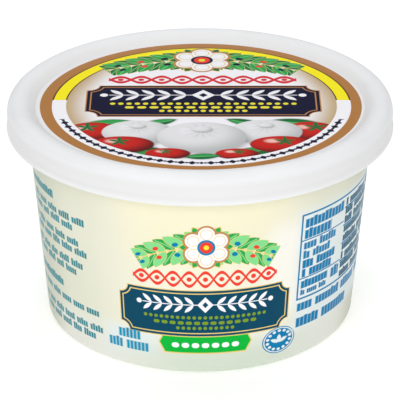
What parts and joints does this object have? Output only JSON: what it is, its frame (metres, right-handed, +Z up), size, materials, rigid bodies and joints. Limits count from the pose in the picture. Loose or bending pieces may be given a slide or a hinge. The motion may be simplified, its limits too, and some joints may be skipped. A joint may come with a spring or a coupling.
{
  "type": "burrata tub",
  "caption": "Round tapered plastic deli tub of burrata, shut with a pressed-on lid that has a flat recessed panel and a rounded rim.",
  "frame": {"origin": "centre of the tub's foot ring, on the surface that it stands on", "axes": "+Z up along the tub's turning axis, -Y towards the printed front"},
  "size_m": [0.1174, 0.1174, 0.0702],
  "materials": {
    "tub_plastic": "milky cream polypropylene with a soft sheen and a printed label moulded in",
    "lid_plastic": "satin white polyethylene with a round print on its panel"
  },
  "bodies": {
    "root": {"tub": "tub_plastic", "lid": "lid_plastic"}
  },
  "joints": []
}
